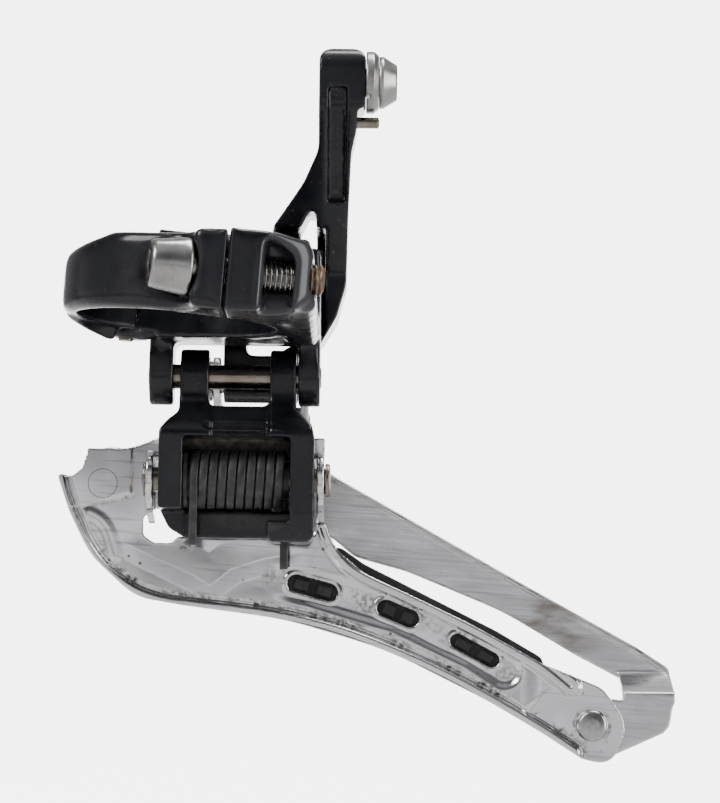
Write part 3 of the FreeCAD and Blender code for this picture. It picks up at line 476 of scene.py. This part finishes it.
def grid_from(points, spacing):
    """A smooth curve's points through a few given ones, about `spacing` apart."""
    smooth_path = []
    for i in range(len(points) - 1):
        p0 = points[max(0, i - 1)]
        p1, p2 = points[i], points[i + 1]
        p3 = points[min(len(points) - 1, i + 2)]
        steps = max(1, int(math.dist(p1, p2) / spacing))
        for k in range(steps):
            t = k / steps
            smooth_path.append(tuple(
                0.5 * (2 * b + (c - a) * t + (2 * a - 5 * b + 4 * c - d) * t * t
                       + (3 * b - a - 3 * c + d) * t ** 3)
                for a, b, c, d in zip(p0, p1, p2, p3)))
    smooth_path.append(points[-1])
    return smooth_path


def crisp(obj, degrees):
    """Smooth shading that still breaks at edges sharper than this."""
    obj.data.set_sharp_from_angle(angle=math.radians(degrees))


# ---------------------------------------------------------------- stage, light and camera
# the floor's height, where it starts to rise behind the object, how wide its curve is and how far it reaches
FLOOR = -0.115
RISE_AT = 1.2
RISE_RADIUS = 0.9
RISE_STEPS = 12
FLOOR_FRONT = -3.0
FLOOR_TOP = 3.0
FLOOR_SIDE = 4.0


def add_stage():
    """A pale floor that rises behind the object in one sweep, and glows where it is the backdrop."""
    mesh = bpy.data.meshes.new("floor")
    profile = [(FLOOR_FRONT, FLOOR), (RISE_AT, FLOOR)]
    for i in range(1, RISE_STEPS + 1):
        angle = math.radians(90 * i / RISE_STEPS)
        y = RISE_AT + RISE_RADIUS * math.sin(angle)
        profile.append((y, FLOOR + RISE_RADIUS * (1 - math.cos(angle))))
    profile.append((RISE_AT + RISE_RADIUS, FLOOR_TOP))
    verts = [(x, y, z) for y, z in profile for x in (-FLOOR_SIDE, FLOOR_SIDE)]
    faces = [(2 * i, 2 * i + 1, 2 * i + 3, 2 * i + 2) for i in range(len(profile) - 1)]
    mesh.from_pydata(verts, [], faces)
    smooth(mesh)
    floor = link("floor", mesh)
    m = Nodes("floor", (0.88, 0.88, 0.88), 0.0, 0.7)
    m.tint((0.84, 0.84, 0.845), m.range(m.noise(3, 2), 0.3, 0.7))
    m.shader.inputs["Emission Color"].default_value = (1, 1, 1, 1)
    spot = m.range(m.near((0.03, 2.1, 0.185), (0.7, 2.0, 0.7)), 0.0, 0.3)
    m.set_from("Emission Strength", m.maths("MULTIPLY", spot, m.along("Y", 0.06, 0.3, 0.0, 4.8)))
    m.tint((0.62, 0.62, 0.625), m.along("Y", 0.12, -0.02))
    floor.data.materials.append(m.material)


def add_light(name, at, aim, size, power):
    lamp = bpy.data.lights.new(name, "AREA")
    lamp.shape = "RECTANGLE"
    lamp.size, lamp.size_y = size
    lamp.energy = power
    obj = bpy.data.objects.new(name, lamp)
    obj.location = at
    obj.rotation_euler = (Vector(aim) - Vector(at)).to_track_quat("-Z", "Y").to_euler()
    bpy.context.scene.collection.objects.link(obj)


def world_ramp(tree, value, steps):
    """Colour ramp over one direction of the studio, as (position, level) pairs."""
    shade = tree.nodes.new("ShaderNodeValToRGB")
    while len(shade.color_ramp.elements) < len(steps):
        shade.color_ramp.elements.new(0.5)
    for element, (position, level) in zip(shade.color_ramp.elements, steps):
        element.position = position
        element.color = (level, level, level * 1.02, 1)
    tree.links.new(value, shade.inputs["Fac"])
    return shade.outputs["Color"]


# brightness of the studio from straight down (0) to straight up (1), and from left (0) to right (1)
STUDIO = (
    ("Z", ((0.0, 0.3), (0.38, 0.16), (0.455, 0.5), (0.49, 1.25), (0.54, 0.95), (0.6, 0.35), (0.7, 0.12),
           (0.84, 0.2), (1.0, 0.7))),
    ("X", ((0.0, 0.5), (0.2, 0.75), (0.36, 0.4), (0.47, 0.9), (0.53, 0.6), (0.62, 0.95), (0.76, 0.25),
           (1.0, 0.8))))
STUDIO_STRENGTH = 1.15


def add_world():
    """A studio of soft bands for the metal to mirror: brightest at the horizon, uneven from side to side."""
    world = bpy.data.worlds.new("studio")
    world.use_nodes = True
    tree = world.node_tree
    place = tree.nodes.new("ShaderNodeTexCoord")
    split = tree.nodes.new("ShaderNodeSeparateXYZ")
    tree.links.new(place.outputs["Generated"], split.inputs[0])
    levels = []
    for axis, steps in STUDIO:
        share = tree.nodes.new("ShaderNodeMapRange")
        share.inputs["From Min"].default_value = -1.0
        tree.links.new(split.outputs[axis], share.inputs["Value"])
        levels.append(world_ramp(tree, share.outputs["Result"], steps))
    both = tree.nodes.new("ShaderNodeVectorMath")
    both.operation = "MULTIPLY"
    tree.links.new(levels[0], both.inputs[0])
    tree.links.new(levels[1], both.inputs[1])
    tree.links.new(both.outputs[0], tree.nodes["Background"].inputs["Color"])
    tree.nodes["Background"].inputs["Strength"].default_value = STUDIO_STRENGTH
    bpy.context.scene.world = world


def add_lights():
    add_world()
    middle = (0.03, 0.0, -0.01)
    add_light("key", (-0.5, -0.45, 0.5), middle, (0.35, 0.5), 6)
    add_light("fill", (0.8, -0.35, 0.15), middle, (0.25, 0.8), 4.5)
    add_light("top", (0.15, 0.15, 0.8), middle, (0.5, 0.3), 5)


# in millimetres: the camera's distance, the height its view takes in there, and how far its aim lies to the
# right of the clamp's centre and below it
DISTANCE = 600.0
VIEW_HEIGHT = 128.275
AIM_RIGHT = 28.834
AIM_BELOW = 17.492
ELEVATION = math.radians(5.5)
ROLL = math.radians(0.7)


def add_camera():
    """Looks along +Y and slightly up; the picture is taller than wide, so the lens follows its height."""
    camera = bpy.data.cameras.new("camera")
    camera.sensor_width = 36.0
    camera.lens = DISTANCE / VIEW_HEIGHT * camera.sensor_width
    camera.clip_start = 0.05
    right = Vector((1, 0, 0))
    ahead = Vector((0, math.cos(ELEVATION), math.sin(ELEVATION)))
    up = Vector((0, -math.sin(ELEVATION), math.cos(ELEVATION)))
    turn = Matrix.Rotation(-ROLL, 3, ahead)
    place = turn @ (right * AIM_RIGHT - up * AIM_BELOW) - ahead * DISTANCE
    right, up = turn @ right, turn @ up
    matrix = Matrix((right, up, -ahead)).transposed().to_4x4()
    matrix.translation = place
    obj = bpy.data.objects.new("camera", camera)
    bpy.context.scene.collection.objects.link(obj)
    obj.matrix_world = Matrix.Rotation(-TILT, 4, "Y") @ matrix
    obj.matrix_world.translation = LEAN @ place
    bpy.context.scene.camera = obj


# ---------------------------------------------------------------- cage sheet metal
# lines of the pressing, as (x, z) points in the pins' frame, and the slots as x, z, length, width, degrees
RIM_LOW = grid_from([
    (-21.3, -27.1), (-20.4, -30.5), (-19.0, -34.0), (-16.7, -38.6), (-13.7, -42.7), (-9.0, -46.4),
    (-4.0, -48.3), (2.0, -49.1), (9.0, -49.8), (17.0, -50.9), (25.5, -52.9), (34.0, -55.9),
    (42.5, -59.6), (51.0, -64.0), (60.0, -69.2), (65.0, -72.5)], 1.0)
RIM_HIGH = grid_from([
    (23.2, -30.5), (23.6, -34.0), (24.7, -37.4), (27.0, -40.7), (30.4, -43.1), (38.0, -46.5),
    (47.9, -51.2), (54.0, -54.4), (60.0, -57.8), (64.6, -61.4)], 1.0)
CHANNEL = [(14.5, -44.6), (21.5, -45.6), (35.8, -49.7), (48.6, -55.7), (53.6, -59.0)]
CREASE = [(-12.0, -37.6), (-9.0, -39.0), (1.7, -43.7), (4.5, -45.4), (8.0, -42.6), (13.4, -40.9),
          (21.0, -39.6)]
CRESCENT = grid_from([(-15.9, -33.6), (-14.0, -34.6), (-12.4, -36.8), (-11.3, -40.6)], 0.8)
SLOTS = ((21.5, -45.6, 8.5, 2.8, -14), (35.8, -49.7, 7.2, 2.8, -22), (48.6, -55.7, 8.9, 2.4, -28))
TAIL_RIVET = (68.2, -67.9)
TAIL_FOLD = [(56.6, -66.6), (65.4, -60.0)]
OUTER_BEAD = [(24.0, -25.4), (57.0, -43.8), (76.5, -54.4), (82.0, -58.2)]
SHEET = 1.0


def nose_slope(x):
    """Height of the lower edge of the nose's raised panel."""
    return -32.6 + 0.24 * (x + 17.0)


def nose_panel(x, z):
    """Raised panel at the nose, bounded by a step behind it and below it."""
    return ramp(x, -8.6, -9.3) * ramp(z, nose_slope(x), nose_slope(x) + 0.7)


def slot_distance(x, z, slot):
    """How far a point lies outside a round-ended slot."""
    cx, cz, length, width, degrees = slot
    turn = math.radians(degrees)
    dx, dz = x - cx, z - cz
    along = dx * math.cos(turn) + dz * math.sin(turn)
    across = -dx * math.sin(turn) + dz * math.cos(turn)
    half = (length - width) / 2
    return np.hypot(np.maximum(0.0, np.abs(along) - half), across) - width / 2


def rim(away, width, height):
    """A rolled edge: rounded over at the sheet's end and dropping to the flat inside."""
    return height * ramp(away, width + 0.7, width - 0.15) - 0.3 * height * ramp(away, 0.35, 0.0)


def crown(x, z):
    """The plate's wide swell, which bends what it mirrors."""
    across = 0.5 * np.clip(1 - ((z + 36.0 + 0.25 * x) / 13.0) ** 2, 0.0, 1.0)
    return across * ramp(x, 30.0, 5.0) + 0.14 * np.sin(x / 4.2 + 1.0) * np.sin(z / 5.1)


def inner_relief(x, z):
    """How far the inner plate's face stands towards the frame, in millimetres."""
    low, _ = path_distance(x, z, RIM_LOW)
    high, _ = path_distance(x, z, RIM_HIGH)
    height = np.maximum(rim(low, 1.0, 1.3), rim(high, 1.35, 1.15) * (x > 21.5))
    inside = ramp(np.minimum(low, high), 1.3, 2.2)
    height = height + 0.2 * nose_panel(x, z) + crown(x, z) * inside
    away, side = path_distance(x, z, CREASE)
    flat = 0.19 * np.minimum(1.0, away / np.where(side > 0, 4.5, 2.6))
    height += inside * flat * ramp(x, 23.0, 15.0) * ramp(x, -13.5, -6.0)
    height += 0.16 * ramp(path_distance(x, z, CRESCENT)[0], 1.4, 0.2) * inside
    trough, _ = path_distance(x, z, CHANNEL)
    height += 0.55 * ramp(trough, 1.7, 3.3) * ramp(x, 60.0, 56.0) * ramp(x, 14.0, 22.0) * inside
    for slot in SLOTS:
        height += 0.22 * ramp(np.abs(slot_distance(x, z, slot) - 0.35), 0.6, 0.1)
    fold, _ = path_distance(x, z, TAIL_FOLD)
    height -= 0.3 * ramp(fold, 1.2, 0.0) * ramp(height, 0.9, 0.5)
    return np.maximum(0.0, height)


def inner_grime(x, z):
    """Where dirt has settled on the inner plate: 0 clean, 1 thick."""
    low, _ = path_distance(x, z, RIM_LOW)
    groove = 0.95 * ramp(np.abs(low - 1.9), 1.0, 0.15) * ramp(x, -20.0, -10.0)
    nose = 0.55 * ramp(np.abs(z - nose_slope(x)), 0.7, 0.1) * ramp(x, -8.6, -9.3)
    step = 0.4 * ramp(np.abs(x + 8.7), 0.5, 0.1) * ramp(z, -32.0, -30.5)
    leg = 0.9 * ramp(np.hypot((x - 0.2) / 1.5, (z + 38.6) / 1.6), 1.25, 0.5)
    away, _ = path_distance(x, z, CHANNEL)
    trough = 0.6 * ramp(away, 2.6, 0.6) * (x > 13)
    lips = [0.85 * ramp(np.abs(slot_distance(x, z, slot) - 0.1), 0.8, 0.1) for slot in SLOTS]
    rivet = 0.7 * ramp(np.abs(np.hypot(x - TAIL_RIVET[0], z - TAIL_RIVET[1]) - 2.9), 0.5, 0.1)
    return np.maximum.reduce([groove, nose, step, leg, trough, *lips, rivet])


def press(obj, face_y, relief, back_share=1.0, grime=None):
    """Stamps a relief into the flat sheet whose near face lies at face_y; folds and tabs stay.

    The sheet's back takes back_share of it, and grime is stored for the material to read.
    """
    here = read_points(obj.data) @ np.array(LEAN.inverted().to_3x3()).T
    x, y, z = here.T
    on_sheet = (y > face_y - 0.35) & (y < face_y + SHEET + 0.35)
    share = np.where(y < face_y + SHEET / 2, 1.0, back_share)
    here[:, 1] -= relief(x, z) * share * on_sheet
    write_points(obj.data, here @ np.array(LEAN.to_3x3()).T)
    layer = obj.data.attributes.new("grime", "FLOAT", "POINT")
    layer.data.foreach_set("value", grime(x, z) * on_sheet if grime else np.zeros(len(x)))


def outer_relief(x, z):
    """The outer plate: a soft bead along its upper edge."""
    edge, _ = path_distance(x, z, OUTER_BEAD)
    return (0.25 * ramp(edge, 1.3, 0.5) - 0.2 * ramp(edge, 0.5, 0.0)) * (x > 20)


def add_cage():
    """Both plates pressed from sheet; the outer one has its own, duller finish."""
    inner = forged("inner_plate", 0.2, 4)
    press(inner, PLATE_FRONT, inner_relief, 0.6, inner_grime)
    stand_for(inner, "inner_plate")
    outer = forged("outer_plate", 0.22, 4)
    press(outer, OUTER_FRONT, outer_relief)
    stand_for(outer, "outer_plate")
    outer.data.materials[0] = BRUSHED_PLATE


def add_block(bm, centre, turn, size):
    """Small box with chamfered near edges, in the pins' frame, turned about Y."""
    half = Vector(size) / 2
    spin = Matrix.Rotation(-turn, 4, "Y")
    rings = []
    for y, inset in ((half.y, 0.0), (-half.y + 0.25, 0.0), (-half.y, 0.25)):
        ring = []
        for sx, sz in ((-1, -1), (1, -1), (1, 1), (-1, 1)):
            corner = Vector((sx * (half.x - inset), y, sz * (half.z - inset)))
            ring.append(bm.verts.new(LEAN @ (centre + spin @ corner)))
        rings.append(ring)
    bm.faces.new(rings[0])
    bm.faces.new(rings[2][::-1])
    for one, two in zip(rings, rings[1:]):
        for i in range(4):
            bm.faces.new((one[i], one[(i + 1) % 4], two[(i + 1) % 4], two[i]))


# where the strip's own face is cut back to, and the middle of the studs that stand out of it
STRIP_FACE = 31.05
STUD_MIDDLE = 30.75


def add_skid_plate():
    """Nylon strip between the plates, with two square studs standing in each of the slots."""
    strip = forged("skid_plate", 0.2, 3)
    to_pins = LEAN.inverted()
    for vertex in strip.data.vertices:
        here = to_pins @ vertex.co
        if here.y < STRIP_FACE:
            vertex.co = LEAN @ Vector((here.x, STRIP_FACE, here.z))
    bm = bmesh.new()
    bm.from_mesh(strip.data)
    for x, z, length, width, degrees in SLOTS:
        turn = math.radians(degrees)
        for side in (-1, 1):
            away = side * 0.23 * length
            centre = Vector((x + away * math.cos(turn), STUD_MIDDLE, z + away * math.sin(turn)))
            add_block(bm, centre, turn, (0.3 * length, 1.3, 0.72 * width))
    bmesh.ops.recalc_face_normals(bm, faces=bm.faces)
    bm.to_mesh(strip.data)
    bm.free()
    smooth(strip.data)
    crisp(strip, 40)
    stand_for(strip, "skid_plate")


def sink_link_panel(mesh):
    """Sinks the panel between the two ribs that run down the link from its lugs."""
    points = read_points(mesh)
    x, _, z = (points @ np.array(LEAN.inverted().to_3x3()).T).T
    inside = ramp(np.abs(x - 9.4), 5.0, 4.5) * ramp(z, -21.9, -21.3) * ramp(z, -15.0, -16.0)
    facing = read_points(mesh, "normal")[:, 1] < -0.4
    points[:, 1] += 0.6 * MM * inside * facing
    write_points(mesh, points)


def add_forgings():
    """The four coated forgings, with the link's ribs and the clamp's bulging skin."""
    band = forged("clamp_band", 0.28)
    soften(band, 170, outside_tube)
    support = forged("support_body", 0.26)
    soften(support, 90, outside_tube)
    swing = forged("inner_link", 0.2, 12)
    sink_link_panel(swing.data)
    soften(swing, 4)
    arm = forged("outer_link", 0.22, 12)
    for obj, node in ((band, "clamp_band"), (support, "support_body"), (swing, "inner_link"),
                      (arm, "outer_link")):
        stand_for(obj, node)


# ---------------------------------------------------------------- spring, bolts and pins
def section_loop(width, depth, corner):
    """Rounded rectangle about the origin, as (across, out) points."""
    points = []
    for cx, cz, start in ((1, 1, 0), (-1, 1, 90), (-1, -1, 180), (1, -1, 270)):
        for k in range(4):
            angle = math.radians(start + 30 * k)
            points.append((cx * (width / 2 - corner) + corner * math.cos(angle),
                           cz * (depth / 2 - corner) + corner * math.sin(angle)))
    return points


def sweep(name, stations, loop):
    """Skin of a section carried along (centre, across, out) stations, closed at both ends."""
    bm = bmesh.new()
    rings = [[bm.verts.new(c + across * a + out * b) for a, b in loop] for c, across, out in stations]
    count = len(loop)
    for first, second in zip(rings, rings[1:]):
        for i in range(count):
            j = (i + 1) % count
            bm.faces.new((first[i], first[j], second[j], second[i]))
    bm.faces.new(rings[0][::-1])
    bm.faces.new(rings[-1])
    bmesh.ops.recalc_face_normals(bm, faces=bm.faces)
    mesh = bpy.data.meshes.new(name)
    bm.to_mesh(mesh)
    bm.free()
    smooth(mesh)
    return mesh


# the return spring in millimetres: the coil's radius to the wire's middle, the wire, the pitch and turns,
# where the coils start, how far below their axis the first leg starts, and how long the last leg is
COIL = 4.1
WIRE = 1.36
PITCH = 1.56
TURNS = 9.5
COIL_AT = 1.9
STEPS_PER_TURN = 40
FRONT_LEG = 11.0
BACK_LEG = 14.4
LEG_STEPS = 8
LEG_STEP = 1.57


def add_spring():
    """Torsion spring of flat-faced wire, with one leg on the cage and one behind the link's foot."""
    centre = pivot("cage_swing")
    across = Vector((1, 0, 0))
    stations = []

    def at(x, y, z):
        return Vector((x, centre.y + y, centre.z + z))

    down = Vector((0, 0, -1))
    ahead = Vector((0, -1, 0))
    for k in range(LEG_STEPS):
        stations.append((at(COIL_AT, -COIL, -FRONT_LEG + k * LEG_STEP), across, ahead))
    steps = int(TURNS * STEPS_PER_TURN)
    for k in range(steps + 1):
        angle = 2 * math.pi * TURNS * k / steps
        out = Vector((0, -math.cos(angle), math.sin(angle)))
        along = COIL_AT + PITCH * TURNS * k / steps
        stations.append((at(along, COIL * out.y, COIL * out.z), across, out))
    end = stations[-1][0]
    out = stations[-1][2]
    for k in range(1, LEG_STEPS + 1):
        stations.append((end + down * (BACK_LEG * k / LEG_STEPS), across, out))
    mesh = sweep("spring_coil", stations, section_loop(WIRE, WIRE, 0.24))
    mesh.transform(LEAN)
    obj = link("spring_coil", mesh)
    crisp(obj, 40)
    stand_for(obj, "return_spring")


# the clamp bolt draws out along its joint's axis, towards its head, so its tip points the other way
BOLT_OUT = JOINTS["clamp_bolt_travel"]["axis"]
BOLT_YAW = math.atan2(BOLT_OUT[1], BOLT_OUT[0]) - math.pi
# where its head bears along X, and the Y and Z of its line there, in row millimetres
BOLT_LINE = (-1.6, -21.9, 1.4)
# where the thread starts and ends, its pitch and its depth
BOLT_THREAD = (1.2, 20.5, 0.8, 0.45)
SOCKET = 4.0
# the cable bolt's bearing face in the pins' frame
CABLE_BOLT_AT = (31.6, 24.0, 38.6)
BOLT_SIDES = 72
STATIONS_PER_PITCH = 9


def thread_cut(along, angle, pitch, depth):
    """How far a single-start V thread cuts below its crest."""
    phase = (along / pitch - angle / (2 * math.pi)) % 1.0
    return depth * max(0.0, 1.0 - abs(2 * phase - 1) * 1.25)


def bolt_stations(profile, thread):
    """The profile's points, with many more along its threaded length."""
    stations = []
    for (xa, ra), (xb, rb) in zip(profile, profile[1:]):
        stations.append((xa, ra))
        if thread and xa == thread[0] and xb == thread[1]:
            steps = int((xb - xa) / (thread[2] / STATIONS_PER_PITCH))
            for k in range(1, steps):
                stations.append((xa + (xb - xa) * k / steps, ra + (rb - ra) * k / steps))
    stations.append(profile[-1])
    return stations


def bolt_radius(along, angle, radius, thread):
    """Radius of a bolt's skin in one direction; None stands for the hex socket's walls."""
    if radius is None:
        sixth = (angle % (math.pi / 3)) - math.pi / 6
        return SOCKET / 2 / math.cos(sixth)
    if thread and thread[0] < along < thread[1]:
        first, last, pitch, depth = thread
        fade = min(1.0, (along - first) / pitch, (last - along) / pitch)
        return radius - thread_cut(along, angle, pitch, depth) * fade
    return radius


def bolt_skin(name, profile, thread=None):
    """Turned bolt about X. profile is (along, radius) with radius None on the hex socket's walls."""
    bm = bmesh.new()
    rings = []
    for along, radius in bolt_stations(profile, thread):
        if radius == 0:
            rings.append([bm.verts.new((along, 0, 0))])
            continue
        ring = []
        for i in range(BOLT_SIDES):
            angle = 2 * math.pi * i / BOLT_SIDES
            r = bolt_radius(along, angle, radius, thread)
            ring.append(bm.verts.new((along, r * math.cos(angle), r * math.sin(angle))))
        rings.append(ring)
    for one, two in zip(rings, rings[1:]):
        for i in range(BOLT_SIDES):
            j = (i + 1) % BOLT_SIDES
            corners = [one[i % len(one)], one[j % len(one)], two[j % len(two)], two[i % len(two)]]
            bm.faces.new(list(dict.fromkeys(corners)))
    bmesh.ops.recalc_face_normals(bm, faces=bm.faces)
    mesh = bpy.data.meshes.new(name)
    bm.to_mesh(mesh)
    bm.free()
    smooth(mesh)
    return mesh


def add_clamp_bolt():
    """Socket-head bolt that lies across the clamp's ears, its thread bare beside the far lug."""
    turn = Matrix.Rotation(BOLT_YAW, 4, "Z")
    bearing, slip, height = BOLT_LINE
    start = turn @ Vector((bearing - 0.05, slip * math.cos(BOLT_YAW), height))
    thread_start, thread_end = BOLT_THREAD[:2]
    profile = [(-3.4, 0), (-3.4, None), (-6.15, None), (-6.38, 2.6), (-6.4, 3.3), (-6.3, 3.55), (-6.0, 3.72),
               (-5.6, 3.82), (-1.4, 4.4), (-0.7, 4.48), (-0.3, 4.44), (-0.05, 4.25), (0.0, 3.9), (0.0, 2.45),
               (thread_start, 2.45), (thread_end, 2.45), (20.95, 1.9), (20.95, 0)]
    mesh = bolt_skin("clamp_bolt_turned", profile, BOLT_THREAD)
    mesh.transform(Matrix.Translation(start * MM) @ turn @ Matrix.Scale(MM, 4))
    obj = link("clamp_bolt_turned", mesh)
    crisp(obj, 50)
    stand_for(obj, "clamp_bolt")
    obj.data.materials[0] = CLAMP_STEEL


def add_cable_bolt():
    """Cone-headed bolt that pinches the cable at the end of the arm; its shank is hidden in the arm."""
    profile = [(1.0, 0), (1.0, None), (2.85, None), (3.0, 2.35), (3.0, 2.75), (2.9, 3.0), (2.7, 3.12),
               (0.95, 4.2), (0.8, 4.3), (0.7, 4.35), (0.12, 4.35), (0.0, 4.25), (0.0, 2.4), (-0.6, 2.4),
               (-7.1, 2.4), (-7.6, 1.9), (-7.6, 0)]
    mesh = bolt_skin("cable_bolt_turned", profile)
    mesh.transform(LEAN @ Matrix.Translation(Vector(CABLE_BOLT_AT)))
    obj = link("cable_bolt_turned", mesh)
    crisp(obj, 40)
    stand_for(obj, "cable_bolt")


def add_small_parts():
    """Clips, washers and heads with their edges broken, as on turned and pressed parts."""
    for node in ("cable_plate", "tail_rivet", "cage_inner_pin_ring", "cage_outer_clip",
                 "outer_upper_clip", "limit_screw_high", "limit_screw_low", "inner_upper_pin",
                 "outer_upper_pin", "cage_inner_pin", "cage_outer_pin", "cable_guide_pin",
                 "clamp_hinge_pin"):
        stand_for(forged(node, 0.1, 4), node)


def main():
    add_stage()
    add_lights()
    add_camera()
    for node, obj in frame["nodes"].items():
        dress(obj, SLOT_OF[node])
    add_forgings()
    add_cage()
    add_skid_plate()
    add_spring()
    add_clamp_bolt()
    add_cable_bolt()
    add_small_parts()
    bpy.context.view_layer.update()


main()
